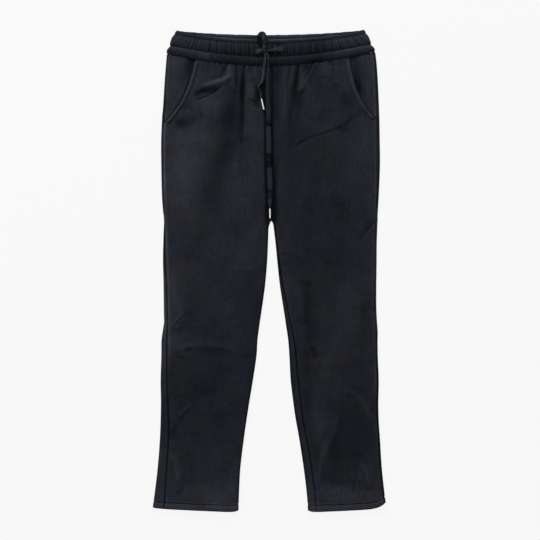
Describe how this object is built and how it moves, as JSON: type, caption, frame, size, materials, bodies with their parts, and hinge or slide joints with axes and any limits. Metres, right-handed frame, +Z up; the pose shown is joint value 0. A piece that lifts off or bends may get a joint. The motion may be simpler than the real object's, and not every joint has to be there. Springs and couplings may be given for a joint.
{
  "type": "drawstring pull-on trousers",
  "caption": "Ankle-length brushed-cloth trousers with a gathered elastic waistband, curved slant pockets and a tied flat drawstring, laid flat front side up.",
  "frame": {"origin": "centre of the garment's outline, on the surface it lies on", "axes": "+Y from the hems to the waist, +Z up through the front, the wearer's right leg at -X"},
  "size_m": [0.4816, 1.0003, 0.0184],
  "materials": {
    "cloth": "brushed, very fine lengthwise cord, near black",
    "tape": "woven flat tape, near black",
    "tip": "bright polished tube"
  },
  "bodies": {
    "root": {"front_panel_right": "cloth", "front_panel_left": "cloth", "back_panel_right": "cloth", "back_panel_left": "cloth", "waistband": "cloth", "pocket_facing_right": "cloth", "pocket_facing_left": "cloth", "pocket_band_right": "cloth", "pocket_band_left": "cloth", "drawstring_lead_right": "tape", "drawstring_lead_left": "tape", "drawstring_loop": "tape", "drawstring_knot": "tape", "drawstring_tail_short": "tape", "drawstring_tail_long": "tape", "drawstring_tip_short": "tip", "drawstring_tip_long": "tip"}
  },
  "joints": []
}
